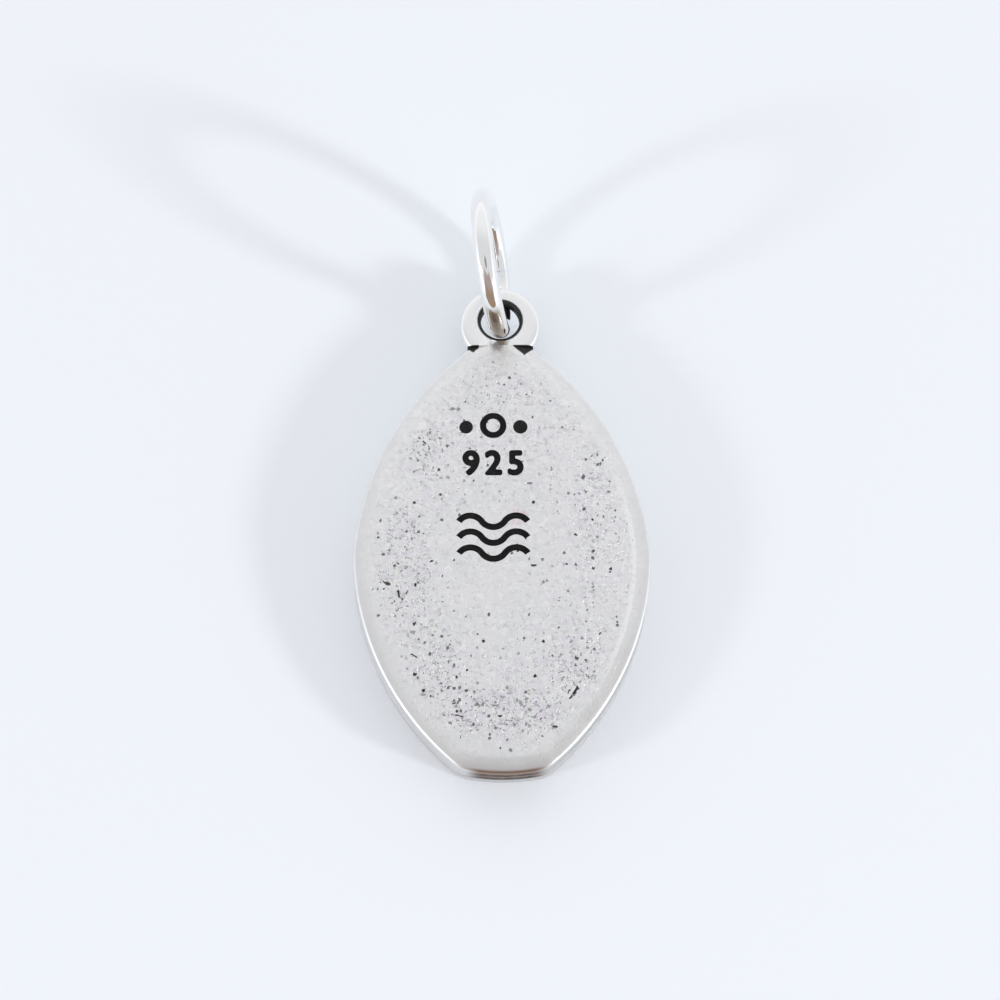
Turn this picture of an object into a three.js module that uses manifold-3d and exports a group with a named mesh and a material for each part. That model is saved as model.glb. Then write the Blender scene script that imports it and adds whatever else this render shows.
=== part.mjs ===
// Ichthys pendant: a silver medal with the fish on its face, a hanging loop and a jump ring.
// Sizes are in millimetres. The pendant lies on its face: z = 0 is the flat of the front rim,
// +Z points out of the back, and +Y runs from the foot to the loop. Angles are in degrees.
import * as THREE from "three";
import { mergeVertices } from "three/addons/utils/BufferGeometryUtils.js";
import Module from "manifold-3d";

// Outline of the medal, measured from its widest row
const halfWidth = 5.85;
const waistRadius = 4; // round stretch at the widest row
const shoulderAngle = 6; // where it runs into the upper side arc, and into the lower one
const hipAngle = 4;
const neckY = 8.75; // flat end that carries the loop
const neckHalf = 1.1;
const neckFillet = 0.12;
const footY = -8.7; // middle of the foot
const footHalf = 1.2;
const footRadius = 6.2;

// Layers: the rim and the fish lie on the face of the back plate
const seamZ = 0.7;
const seamChamfer = 0.08;
const wallHeight = 0.8; // straight wall of the back plate
const roundWidth = 0.6; // rounded edge of the back
const roundHeight = 0.3;
const crownHeight = 0.2; // the back rises this much more to its flat middle
const cornerFillet = 0.25; // what is left of the foot's fillets inside the rounded edge
const neckRoundShare = 0.5; // the rounding narrows towards the neck
const neckBlend = 2.4; // length of that narrowing
const flatShare = 0.55; // share of the back's width and length that is flat

// Front rim
const rimWidth = 1.05;
const rimBevel = 0.18;
const rimEdge = 0.22;
const rimCornerFillet = 0.4;

// Fish: two equal arcs that meet at the nose and cross before the tail. The gaps run from the
// rim's inner edge to the middle of the band, at the widest row, the nose and the crossing.
const fishSideGap = 1.75;
const fishNoseGap = 1.5;
const fishCrossGap = 2.61;
const fishTail = 1.9; // length of each tail arm past the crossing
const fishBand = 0.76;
const fishCrown = 0.3; // height of the rounded top of the band
const fishRecess = 0.08; // the fish lies this far behind the rim's face
const noseLap = 0.02; // the two sides run this far past the centre line at the nose

// Hanging loop: its hole sits a little above the middle of the outer circle
const loopWeb = 0.31; // metal between the hole and the neck
const loopRadius = 1.6;
const holeRadius = 0.77;
const holeRise = 0.14;
const crownDepth = 0.5; // depth of the section at the top and at the foot
const footDepth = 0.98;

// Jump ring, bent from round wire, standing on edge in the loop
const ringRadius = 2.6;
const wireRadius = 0.4;
const ringGap = 0.07; // butt joint
const ringGapAngle = -80;
const ringClearance = 0.19; // between the wire and the foot of the loop's hole
const ringSlide = -0.03; // sideways along the crown
const ringRise = 0.08; // its swing axis lies this far above the middle of the crown
const ringLean = 8.4;
const ringTurn = 5.2;

// Smoothness
const sideSteps = 16;
const filletSteps = 4;
const footSteps = 4;
const edgeSteps = 5;
const rimEdgeSteps = 3;
const crownSteps = 3;
const fishSteps = 32;
const fishCrownSteps = 6;
const loopSteps = 56;
const loopSectionSteps = 22;
const ringSteps = 88;
const wireSteps = 20;
const weldDistance = 1e-4;

// Heights and places that follow from the sizes
const wallTopZ = seamZ + wallHeight;
const thickness = wallTopZ + roundHeight + crownHeight;
const loopZ = (seamZ + thickness) / 2;
const holeFootY = neckY + loopWeb;
const loopY = holeFootY + holeRadius - holeRise;
const crownY = loopY + (holeRise + holeRadius + loopRadius) / 2;

const radians = THREE.MathUtils.degToRad;
const wasm = await Module();
wasm.setup();

const silver = new THREE.MeshStandardMaterial({ color: 0xd6d5d7, roughness: 0.34, metalness: 1 });
const brightSilver = new THREE.MeshStandardMaterial({ color: 0xe4e4e6, roughness: 0.14, metalness: 1 });
const rubbedSilver = new THREE.MeshStandardMaterial({ color: 0xcfced1, roughness: 0.28, metalness: 1 });

// Circle that leaves a smaller one smoothly, at the given angle, and then passes through a point.
function circleOnwards(from, degrees, point) {
  const out = new THREE.Vector2(Math.cos(radians(degrees)), Math.sin(radians(degrees)));
  const touch = from.centre.clone().addScaledVector(out, from.radius);
  const step = touch.clone().sub(point);
  const radius = step.lengthSq() / (2 * out.dot(step));
  return { centre: touch.addScaledVector(out, -radius), radius };
}

// Circle of the given radius that touches circles a and b from inside, next to their corner.
function filletCircle(a, b, corner, radius) {
  const between = b.centre.clone().sub(a.centre);
  const distance = between.length();
  const fromA = a.radius - radius;
  const fromB = b.radius - radius;
  const along = (distance ** 2 + fromA ** 2 - fromB ** 2) / (2 * distance);
  const across = Math.sqrt(fromA ** 2 - along ** 2);
  between.normalize();
  const foot = a.centre.clone().addScaledVector(between, along);
  const normal = new THREE.Vector2(-between.y, between.x);
  const [first, second] = [1, -1].map((side) => foot.clone().addScaledVector(normal, side * across));
  const centre = first.distanceTo(corner) < second.distanceTo(corner) ? first : second;
  return { centre, radius };
}

function touchPoint(circle, fillet) {
  const out = fillet.centre.clone().sub(circle.centre).normalize();
  return circle.centre.clone().addScaledVector(out, circle.radius);
}

// Points along a circle from p to q, clockwise, without p itself.
function arcPoints(circle, p, q, steps) {
  const { centre, radius } = circle;
  const from = p.clone().sub(centre).angle();
  const to = q.clone().sub(centre).angle();
  const sweep = THREE.MathUtils.euclideanModulo(from - to, 2 * Math.PI);
  return Array.from({ length: steps }, (_, i) => {
    const angle = from - (sweep * (i + 1)) / steps;
    return new THREE.Vector2(Math.cos(angle), Math.sin(angle)).multiplyScalar(radius).add(centre);
  });
}

// The medal's outline drawn inwards by inset, anticlockwise, always with the same number of points.
// corner is the fillet at the foot, and the neck ends flat at endY with its own fillet.
function medalOutline(inset, options = {}) {
  const { endY = neckY - inset, neck = neckFillet } = options;
  const { corner = roundWidth + cornerFillet - inset } = options;
  const footRise = footRadius - Math.sqrt(footRadius ** 2 - footHalf ** 2);
  const footCorner = new THREE.Vector2(footHalf, footY + footRise);
  const bend = { centre: new THREE.Vector2(halfWidth - waistRadius, 0), radius: waistRadius };
  const shrink = (circle) => ({ centre: circle.centre, radius: circle.radius - inset });
  const waist = shrink(bend);
  const upper = shrink(circleOnwards(bend, shoulderAngle, new THREE.Vector2(neckHalf, neckY)));
  const lower = shrink(circleOnwards(bend, -hipAngle, footCorner));
  const foot = shrink({ centre: new THREE.Vector2(0, footY + footRadius), radius: footRadius });
  const heel = filletCircle(lower, foot, footCorner, corner);

  const neckCentreY = endY - neck;
  const neckReach = Math.sqrt((upper.radius - neck) ** 2 - (neckCentreY - upper.centre.y) ** 2);
  const shoulder = { centre: new THREE.Vector2(upper.centre.x + neckReach, neckCentreY), radius: neck };

  const neckEnd = new THREE.Vector2(shoulder.centre.x, endY);
  const stops = [touchPoint(upper, shoulder), touchPoint(upper, waist), touchPoint(lower, waist)];
  const heelStops = [touchPoint(lower, heel), touchPoint(foot, heel)];
  const toe = new THREE.Vector2(0, footY + inset);
  const half = [
    new THREE.Vector2(0, endY),
    neckEnd,
    ...arcPoints(shoulder, neckEnd, stops[0], filletSteps),
    ...arcPoints(upper, stops[0], stops[1], sideSteps),
    ...arcPoints(waist, stops[1], stops[2], filletSteps),
    ...arcPoints(lower, stops[2], heelStops[0], sideSteps),
    ...arcPoints(heel, heelStops[0], heelStops[1], filletSteps),
    ...arcPoints(foot, heelStops[1], toe, footSteps),
  ];
  const mirrored = half.slice(1, -1).map((p) => new THREE.Vector2(-p.x, p.y));
  return [...mirrored, toe, ...half.slice(0, -1).reverse()];
}

function raise(outline, z) {
  return outline.map((p) => new THREE.Vector3(p.x, p.y, z));
}

// Skin over a stack of rings with equal numbers of points. An open stack gets a cap at each end,
// a looped one closes on itself.
function loft(rings, looped = false) {
  const count = rings[0].length;
  const positions = rings.flat().flatMap((p) => p.toArray());
  const index = [];
  const bands = looped ? rings.length : rings.length - 1;
  for (let k = 0; k < bands; k++) {
    const low = k * count;
    const high = ((k + 1) % rings.length) * count;
    for (let i = 0; i < count; i++) {
      const j = (i + 1) % count;
      index.push(low + i, low + j, high + j, low + i, high + j, high + i);
    }
  }
  const cap = (ring, start, upwards) => {
    const middle = ring.reduce((sum, p) => sum.add(p), new THREE.Vector3()).divideScalar(count);
    const centre = positions.length / 3;
    positions.push(...middle.toArray());
    for (let i = 0; i < count; i++) {
      const j = (i + 1) % count;
      index.push(centre, ...(upwards ? [start + i, start + j] : [start + j, start + i]));
    }
  };
  if (!looped) {
    cap(rings[0], 0, false);
    cap(rings.at(-1), (rings.length - 1) * count, true);
  }
  const geometry = new THREE.BufferGeometry();
  geometry.setAttribute("position", new THREE.Float32BufferAttribute(positions, 3));
  geometry.setIndex(index);
  return geometry;
}

function toSolid(geometry) {
  const bare = geometry.clone();
  bare.deleteAttribute("normal");
  bare.deleteAttribute("uv");
  const merged = mergeVertices(bare, weldDistance);
  return new wasm.Manifold(
    new wasm.Mesh({
      numProp: 3,
      vertProperties: merged.attributes.position.array,
      triVerts: new Uint32Array(merged.index.array),
    }),
  );
}

function toGeometry(solid) {
  const mesh = solid.getMesh();
  const geometry = new THREE.BufferGeometry();
  geometry.setAttribute("position", new THREE.BufferAttribute(mesh.vertProperties, 3));
  geometry.setIndex(new THREE.BufferAttribute(mesh.triVerts, 1));
  return geometry;
}

// A box between two corners, used to cut with.
function cutter(low, high) {
  const size = high.clone().sub(low);
  const box = new THREE.BoxGeometry(size.x, size.y, size.z);
  return toSolid(box.translate(...low.clone().add(high).multiplyScalar(0.5).toArray()));
}

function named(name, geometry, material) {
  geometry.computeVertexNormals();
  const mesh = new THREE.Mesh(geometry, material);
  mesh.name = name;
  return mesh;
}

// Back plate: straight wall over the seam, a rounded edge, and a slight crown with a flat middle.
function backPlate() {
  const base = medalOutline(0);
  const hold = (p) => {
    const share = THREE.MathUtils.smoothstep(p.y, neckY - neckBlend, neckY);
    return share * (1 - neckRoundShare);
  };
  const rings = [
    raise(medalOutline(seamChamfer), seamZ),
    raise(base, seamZ + seamChamfer),
    raise(base, wallTopZ),
  ];
  for (let k = 1; k <= edgeSteps; k++) {
    const angle = ((Math.PI / 2) * k) / edgeSteps;
    const inset = roundWidth * (1 - Math.cos(angle));
    const drawnIn = medalOutline(inset, { endY: neckY });
    const blended = drawnIn.map((p, i) => p.clone().lerp(base[i], hold(base[i])));
    rings.push(raise(blended, wallTopZ + roundHeight * Math.sin(angle)));
  }
  const shoulderRing = rings.at(-1);
  for (let k = 1; k <= crownSteps; k++) {
    const share = k / crownSteps;
    const scale = 1 - (1 - flatShare) * share;
    const z = thickness - crownHeight * (1 - share) ** 2;
    rings.push(shoulderRing.map((p) => new THREE.Vector3(p.x * scale, p.y * scale, z)));
  }
  return loft(rings);
}

// Front rim: a closed band with a rounded outer edge and a bevelled inner wall.
function faceRim() {
  const rings = [raise(medalOutline(seamChamfer), seamZ), raise(medalOutline(0), seamZ - seamChamfer)];
  for (let k = 0; k <= rimEdgeSteps; k++) {
    const angle = ((Math.PI / 2) * k) / rimEdgeSteps;
    const inset = rimEdge * (1 - Math.cos(angle));
    rings.push(raise(medalOutline(inset), rimEdge * (1 - Math.sin(angle))));
  }
  const inner = { corner: rimCornerFillet, neck: rimCornerFillet };
  rings.push(raise(medalOutline(rimWidth - rimBevel, inner), 0));
  rings.push(raise(medalOutline(rimWidth, inner), seamZ));
  return loft(rings.reverse(), true);
}

// Fish: each side is a band swept along its arc, cut on the centre line at the nose.
function fish() {
  const halfSpan = halfWidth - rimWidth - fishSideGap;
  const noseY = neckY - rimWidth - fishNoseGap;
  const crossY = footY + rimWidth + fishCrossGap;
  const middleY = (noseY + crossY) / 2;
  const halfLength = (noseY - crossY) / 2;
  const radius = (halfSpan ** 2 + halfLength ** 2) / (2 * halfSpan);
  const offset = radius - halfSpan;
  const half = fishBand / 2;
  const start = Math.acos((offset - fishBand) / (radius + fishBand));
  const end = -Math.asin(halfLength / radius) - fishTail / radius;
  const section = [new THREE.Vector2(-half, seamZ), new THREE.Vector2(half, seamZ)];
  for (let k = 0; k <= fishCrownSteps; k++) {
    const angle = (Math.PI * k) / fishCrownSteps;
    const z = fishRecess + fishCrown * (1 - Math.sin(angle));
    section.push(new THREE.Vector2(half * Math.cos(angle), z));
  }
  const side = (sign) => {
    const rings = Array.from({ length: fishSteps + 1 }, (_, i) => {
      const angle = start + ((end - start) * i) / fishSteps;
      return section.map((s) => {
        const reach = radius + s.x;
        const x = sign * (reach * Math.cos(angle) - offset);
        return new THREE.Vector3(x, middleY + reach * Math.sin(angle), s.y);
      });
    });
    const band = toSolid(loft(sign > 0 ? rings.reverse() : rings));
    const far = radius + fishBand;
    const low = new THREE.Vector3(sign > 0 ? -far : noseLap, middleY, -far);
    const high = new THREE.Vector3(sign > 0 ? -noseLap : far, middleY + 2 * far, far);
    return band.subtract(cutter(low, high));
  };
  return toGeometry(side(1).add(side(-1)));
}

// Hanging loop: an oval section that thins towards the crown, filed flat where it meets the neck.
function hangingLoop() {
  const rings = Array.from({ length: loopSteps }, (_, i) => {
    const angle = (2 * Math.PI * i) / loopSteps;
    const rise = Math.sin(angle);
    const outer = -holeRise * rise + Math.sqrt(loopRadius ** 2 - (holeRise * Math.cos(angle)) ** 2);
    const middle = (holeRadius + outer) / 2;
    const reach = (outer - holeRadius) / 2;
    const depth = (crownDepth + (footDepth - crownDepth) * ((1 - rise) / 2) ** 2) / 2;
    return Array.from({ length: loopSectionSteps }, (_, j) => {
      const turn = (2 * Math.PI * j) / loopSectionSteps;
      const distance = middle + reach * Math.cos(turn);
      const x = distance * Math.cos(angle);
      const y = loopY + holeRise + distance * rise;
      return new THREE.Vector3(x, y, loopZ + depth * Math.sin(turn));
    });
  });
  const whole = toSolid(loft(rings.reverse(), true));
  const far = 2 * loopRadius;
  const low = new THREE.Vector3(-far, neckY - far, loopZ - far);
  const high = new THREE.Vector3(far, neckY, loopZ + far);
  return toGeometry(whole.subtract(cutter(low, high)));
}

// Jump ring in its own plane, open at the butt joint.
function jumpRing() {
  const halfGap = ringGap / 2 / ringRadius;
  const start = radians(ringGapAngle) + halfGap;
  const sweep = 2 * Math.PI - 2 * halfGap;
  const rings = Array.from({ length: ringSteps + 1 }, (_, i) => {
    const angle = start + (sweep * i) / ringSteps;
    return Array.from({ length: wireSteps }, (_, j) => {
      const turn = (2 * Math.PI * j) / wireSteps;
      const distance = ringRadius + wireRadius * Math.cos(turn);
      const height = wireRadius * Math.sin(turn);
      return new THREE.Vector3(distance * Math.cos(angle), distance * Math.sin(angle), height);
    });
  });
  return loft(rings.reverse());
}

// The ring's plane: along points towards +Y, up out of the table, and normal is the swing axis.
const lean = radians(ringLean);
const turn = radians(ringTurn);
const across = new THREE.Vector3(Math.cos(turn), Math.sin(turn), 0);
const normal = across.multiplyScalar(Math.cos(lean)).setZ(Math.sin(lean));
const along = new THREE.Vector3(-Math.sin(turn), Math.cos(turn), 0);
const up = normal.clone().cross(along);

// The ring swings about the upper half of the loop's crown. It stands on the table, z = 0, with its
// wire just above the foot of the hole.
const pivot = new THREE.Vector3(ringSlide, crownY, loopZ + ringRise);
const ringCentreZ = wireRadius + ringRadius * Math.sqrt(1 - normal.z ** 2);
const rise = (ringCentreZ - pivot.z) / up.z;
const wireReach = Math.sqrt((ringRadius + wireRadius) ** 2 - rise ** 2);
const ringAhead = holeFootY + ringClearance + wireReach - crownY;

const medal = new THREE.Group();
medal.add(
  named("back_plate", backPlate(), silver),
  named("face_rim", faceRim(), rubbedSilver),
  named("fish", fish(), rubbedSilver),
  named("hanging_loop", hangingLoop(), brightSilver),
);

const swing = new THREE.Group();
swing.position.copy(pivot);
swing.quaternion.setFromRotationMatrix(new THREE.Matrix4().makeBasis(along, up, normal));
const ring = named("jump_ring", jumpRing(), brightSilver);
ring.position.set(ringAhead, rise, 0);
swing.add(ring);

// The origin is the middle of the whole pendant's box, at table height.
const ringCentreY = pivot.y + along.y * ringAhead + up.y * rise;
const ringEndY = ringCentreY + ringRadius * Math.sqrt(1 - normal.y ** 2) + wireRadius;
const group = new THREE.Group();
group.position.y = -(footY + ringEndY) / 2;
group.add(medal, swing);

export default group;
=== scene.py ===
# Ichthys pendant in silver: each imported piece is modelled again, finely, with its finish.
# It lies on its face, so the camera sees the back of the medal, its loop and its ring.
import math

import bmesh
import bpy
from mathutils import Matrix, Vector


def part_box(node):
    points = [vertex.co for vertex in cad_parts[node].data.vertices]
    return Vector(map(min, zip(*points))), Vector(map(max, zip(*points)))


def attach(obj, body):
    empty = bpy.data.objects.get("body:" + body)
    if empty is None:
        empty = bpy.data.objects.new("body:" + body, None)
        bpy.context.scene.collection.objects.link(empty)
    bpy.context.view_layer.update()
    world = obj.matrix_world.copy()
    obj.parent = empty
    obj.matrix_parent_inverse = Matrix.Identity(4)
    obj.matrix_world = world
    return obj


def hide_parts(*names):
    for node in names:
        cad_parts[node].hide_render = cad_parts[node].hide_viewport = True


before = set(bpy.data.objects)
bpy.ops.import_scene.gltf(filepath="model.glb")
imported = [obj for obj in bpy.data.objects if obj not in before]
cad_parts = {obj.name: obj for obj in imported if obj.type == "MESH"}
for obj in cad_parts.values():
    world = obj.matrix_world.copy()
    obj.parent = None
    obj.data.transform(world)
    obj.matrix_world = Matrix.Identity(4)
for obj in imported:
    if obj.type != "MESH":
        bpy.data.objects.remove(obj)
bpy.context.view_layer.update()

mm = 0.001  # pieces are modelled in millimetres and brought to metres at the end
cutSlack = 0.0001  # how near a cutting plane a point counts as on it
zAxis = (0, 0, 1)


def nodeBox(node):
    low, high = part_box(node)
    return low / mm, high / mm


plateLow, plateHigh = nodeBox("back_plate")
loopLow, loopHigh = nodeBox("hanging_loop")
ringLow, ringHigh = nodeBox("jump_ring")

medal = {
    "footDrop": 8.7,  # from the widest row down to the foot
    "waistRadius": 4,
    "shoulderAngle": 6,
    "hipAngle": 2,
    "neckHalf": 1.1,
    "neckFillet": 0.12,
    "footHalf": 1.7,
    "footRadius": 7.5,
    "heelRadius": 1.2,
    "sideSteps": 40,
    "shortSteps": 8,
    "seamChamfer": 0.03,
}
halfWidth = plateHigh.x
footY = plateLow.y
neckY = plateHigh.y
rowY = footY + medal["footDrop"]  # the widest row
seamZ = plateLow.z
backZ = plateHigh.z
middle = (0, rowY, 0)
ringMiddle = (ringLow + ringHigh) / 2 - Vector(middle)  # from the widest row


# Tools for modelling
def startPiece():
    if bpy.context.object and bpy.context.object.mode != "OBJECT":
        bpy.ops.object.mode_set(mode="OBJECT")
    bpy.ops.object.select_all(action="DESELECT")


def settle(name):
    piece = bpy.context.object
    piece.name = name
    piece.data.name = name
    bpy.ops.object.transform_apply(location=True, rotation=True, scale=True)
    return piece


def edit(kind="VERT"):
    bpy.ops.object.mode_set(mode="EDIT")
    bpy.ops.mesh.select_mode(type=kind)
    bpy.ops.mesh.select_all(action="DESELECT")


def pick(kind, test):
    mesh = bmesh.from_edit_mesh(bpy.context.object.data)
    for part in getattr(mesh, kind):
        place = part.co if kind == "verts" else sum((v.co for v in part.verts), Vector()) / len(part.verts)
        part.select_set(bool(test(place, part)))
    mesh.select_flush_mode()
    bmesh.update_edit_mesh(bpy.context.object.data)


def closeUp():
    bpy.ops.mesh.select_all(action="SELECT")
    bpy.ops.mesh.remove_doubles(threshold=0.0005)
    bpy.ops.mesh.normals_make_consistent(inside=False)
    bpy.ops.object.mode_set(mode="OBJECT")


def cutAt(place, way, **cleared):
    bpy.ops.mesh.bisect(plane_co=place, plane_no=way, use_fill=True, threshold=cutSlack, **cleared)


def modify(kind, **settings):
    modifier = bpy.context.object.modifiers.new(kind.lower(), kind)
    for key, value in settings.items():
        setattr(modifier, key, value)
    bpy.ops.object.modifier_apply(modifier=modifier.name)


def carve(piece, cutter, operation="DIFFERENCE"):
    startPiece()
    piece.select_set(True)
    bpy.context.view_layer.objects.active = piece
    modify("BOOLEAN", object=cutter, operation=operation, solver="EXACT", material_mode="TRANSFER")
    bpy.data.objects.remove(cutter)


def finishPiece(piece, smoothAngle, body, node, material):
    startPiece()
    piece.select_set(True)
    bpy.context.view_layer.objects.active = piece
    piece.scale = (mm, mm, mm)
    bpy.ops.object.transform_apply(location=True, rotation=True, scale=True)
    bpy.ops.object.shade_smooth_by_angle(angle=math.radians(smoothAngle))
    if not piece.data.materials:
        piece.data.materials.append(material)
    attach(piece, body)
    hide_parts(node)
    print("made", piece.name, len(piece.data.polygons), "faces")


# The medal's outline: tangent arcs from the neck down one side to the foot, then mirrored
def onwardCircle(centre, radius, degrees, point):
    out = Vector((math.cos(math.radians(degrees)), math.sin(math.radians(degrees))))
    touch = centre + out * radius
    step = touch - point
    larger = step.length_squared / (2 * out.dot(step))
    return touch - out * larger, larger


def innerCircle(a, b, corner, radius):
    (centreA, radiusA), (centreB, radiusB) = a, b
    between = centreB - centreA
    fromA = radiusA - radius
    fromB = radiusB - radius
    along = (between.length_squared + fromA**2 - fromB**2) / (2 * between.length)
    across = math.sqrt(fromA**2 - along**2)
    between.normalize()
    foot = centreA + between * along
    side = Vector((-between.y, between.x)) * across
    centre = min(foot + side, foot - side, key=lambda p: (p - corner).length)
    return centre, radius


def touching(outer, inner):
    return outer[0] + (inner[0] - outer[0]).normalized() * outer[1]


def halfOutline(flatNeck):
    neckTop = neckY - rowY
    footBottom = footY - rowY
    heelRise = medal["footRadius"] - math.sqrt(medal["footRadius"] ** 2 - medal["footHalf"] ** 2)
    heelCorner = Vector((medal["footHalf"], footBottom + heelRise))
    neckCorner = Vector((medal["neckHalf"], neckTop))
    waist = (Vector((halfWidth - medal["waistRadius"], 0)), medal["waistRadius"])
    upper = onwardCircle(*waist, medal["shoulderAngle"], neckCorner)
    lower = onwardCircle(*waist, -medal["hipAngle"], heelCorner)
    foot = (Vector((0, footBottom + medal["footRadius"])), medal["footRadius"])
    heel = innerCircle(lower, foot, heelCorner, medal["heelRadius"])
    toe = Vector((0, footBottom))
    path = [
        (upper, touching(upper, waist), medal["sideSteps"]),
        (waist, touching(lower, waist), medal["shortSteps"]),
        (lower, touching(lower, heel), medal["sideSteps"]),
        (heel, touching(foot, heel), medal["shortSteps"]),
        (foot, toe, medal["shortSteps"]),
    ]
    if not flatNeck:
        top = upper[0].y + math.sqrt(upper[1] ** 2 - upper[0].x ** 2)
        return [Vector((0, top))], path
    fillet = medal["neckFillet"]
    filletY = neckTop - fillet
    reach = math.sqrt((upper[1] - fillet) ** 2 - (filletY - upper[0].y) ** 2)
    shoulder = (Vector((upper[0].x + reach, filletY)), fillet)
    start = [Vector((0, neckTop)), Vector((shoulder[0].x, neckTop))]
    return start, [(shoulder, touching(upper, shoulder), medal["shortSteps"]), *path]


def drawOutline(name, z, flatNeck, filled):
    starts, path = halfOutline(flatNeck)
    startPiece()
    bpy.ops.mesh.primitive_plane_add(size=1)
    piece = settle(name)
    bpy.ops.object.mode_set(mode="EDIT")
    bpy.ops.mesh.select_all(action="SELECT")
    bpy.ops.mesh.merge(type="CENTER")
    bpy.ops.transform.translate(value=(starts[0].x, starts[0].y + rowY, z))
    for before, after in zip(starts, starts[1:]):
        step = after - before
        bpy.ops.mesh.extrude_region_move(TRANSFORM_OT_translate={"value": (step.x, step.y, 0)})
    here = starts[-1]
    for (centre, _), stop, steps in path:
        turn = math.atan2(*(here - centre).yx) - math.atan2(*(stop - centre).yx)
        pin = (centre.x, centre.y + rowY, z)
        bpy.ops.mesh.spin(steps=steps, angle=turn % (2 * math.pi), center=pin, axis=zAxis)
        here = stop
    bpy.ops.object.mode_set(mode="OBJECT")
    modify("MIRROR", use_mirror_merge=True, merge_threshold=0.001)
    bpy.ops.object.mode_set(mode="EDIT")
    bpy.ops.mesh.select_all(action="SELECT")
    if filled:
        bpy.ops.mesh.edge_face_add()
    return piece


# One level of a lofted piece: its height and the outline's two scales there
def level(z, inset, scale=1):
    return z, (1 - inset / halfWidth) * scale, (1 - inset / medal["footDrop"]) * scale


def growLevels(levels):
    _, wide, tall = levels[0]
    bpy.ops.transform.resize(value=(wide, tall, 1), center_override=middle)
    for before, after in zip(levels, levels[1:]):
        bpy.ops.mesh.extrude_region_move(TRANSFORM_OT_translate={"value": (0, 0, after[0] - before[0])})
        ratio = (after[1] / before[1], after[2] / before[2], 1)
        bpy.ops.transform.resize(value=ratio, center_override=middle)


# Tools for materials
def node(tree, kind, values=None, **settings):
    made = tree.nodes.new(kind)
    for key, value in settings.items():
        setattr(made, key, value)
    for key, value in (values or {}).items():
        if isinstance(value, bpy.types.NodeSocket):
            tree.links.new(value, made.inputs[key])
        else:
            made.inputs[key].default_value = value
    return made


def maths(tree, operation, *values):
    return node(tree, "ShaderNodeMath", dict(enumerate(values)), operation=operation).outputs[0]


def plus(tree, a, b):
    return maths(tree, "ADD", a, b)


def minus(tree, a, b):
    return maths(tree, "SUBTRACT", a, b)


def product(tree, first, *others):
    for other in others:
        first = maths(tree, "MULTIPLY", first, other)
    return first


def strongest(tree, first, *others):
    for other in others:
        first = maths(tree, "MAXIMUM", first, other)
    return first


def gapFrom(tree, value, middleValue):
    return maths(tree, "ABSOLUTE", minus(tree, value, middleValue))


def vectors(tree, operation, *values):
    return node(tree, "ShaderNodeVectorMath", dict(enumerate(values)), operation=operation).outputs


def scaled(tree, vector, factor):
    return node(tree, "ShaderNodeVectorMath", {0: vector, 3: factor}, operation="SCALE").outputs[0]


def splitXyz(tree, vector):
    return node(tree, "ShaderNodeSeparateXYZ", {0: vector}).outputs[:3]


def length(tree, *values):
    vector = node(tree, "ShaderNodeCombineXYZ", dict(enumerate(values))).outputs[0]
    return vectors(tree, "LENGTH", vector)[1]


# How far a point lies from a spot, in shares of two half sizes
def farFrom(tree, x, y, spot, halves=(1, 1)):
    aside = maths(tree, "DIVIDE", minus(tree, x, spot[0]), halves[0])
    along = maths(tree, "DIVIDE", minus(tree, y, spot[1]), halves[1])
    return length(tree, aside, along, 0)


def ovalReach(tree, x, y):
    return farFrom(tree, x, y, (0, 0), (halfWidth, medal["footDrop"]))


def noiseOf(tree, place, scale, detail=3, roughness=0.5, distortion=0):
    values = {"Vector": place, "Scale": scale, "Detail": detail}
    values.update({"Roughness": roughness, "Distortion": distortion})
    return node(tree, "ShaderNodeTexNoise", values).outputs


# A noise's value on both sides of zero
def wobble(tree, noise, size):
    return product(tree, minus(tree, noise, 0.5), size)


def ramp(tree, value, low, high, outLow=0, outHigh=1):
    values = {"Value": value, "From Min": low, "From Max": high, "To Min": outLow, "To Max": outHigh}
    return node(tree, "ShaderNodeMapRange", values, interpolation_type="SMOOTHSTEP").outputs[0]


def blendColour(tree, factor, a, b):
    made = node(tree, "ShaderNodeMix", data_type="RGBA")
    for socket, value in zip((made.inputs[0], made.inputs[6], made.inputs[7]), (factor, a, b)):
        if isinstance(value, bpy.types.NodeSocket):
            tree.links.new(value, socket)
        else:
            socket.default_value = value
    return made.outputs[2]


def newGroup(name, inputs, outputs):
    group = bpy.data.node_groups.new(name, "ShaderNodeTree")
    for label, kind, value in inputs:
        socket = group.interface.new_socket(name=label, in_out="INPUT", socket_type=kind)
        socket.default_value = value
    for label, kind in outputs:
        group.interface.new_socket(name=label, in_out="OUTPUT", socket_type=kind)
    return group, node(group, "NodeGroupInput").outputs, node(group, "NodeGroupOutput").inputs


def useGroup(tree, group, **values):
    return node(tree, "ShaderNodeGroup", values, node_tree=group).outputs


def newMaterial(name):
    material = bpy.data.materials.new(name)
    material.use_nodes = True
    tree = material.node_tree
    return material, tree, tree.nodes["Principled BSDF"].inputs


# Where a point lies, in millimetres from the widest row and the table
def makePlaceGroup():
    group, _, out = newGroup("placeInMillimetres", [], [("Place", "NodeSocketVector")])
    place = node(group, "ShaderNodeTexCoord").outputs["Object"]
    inMillimetres = scaled(group, place, 1 / mm)
    group.links.new(vectors(group, "SUBTRACT", inMillimetres, middle)[0], out["Place"])
    return group


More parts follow.
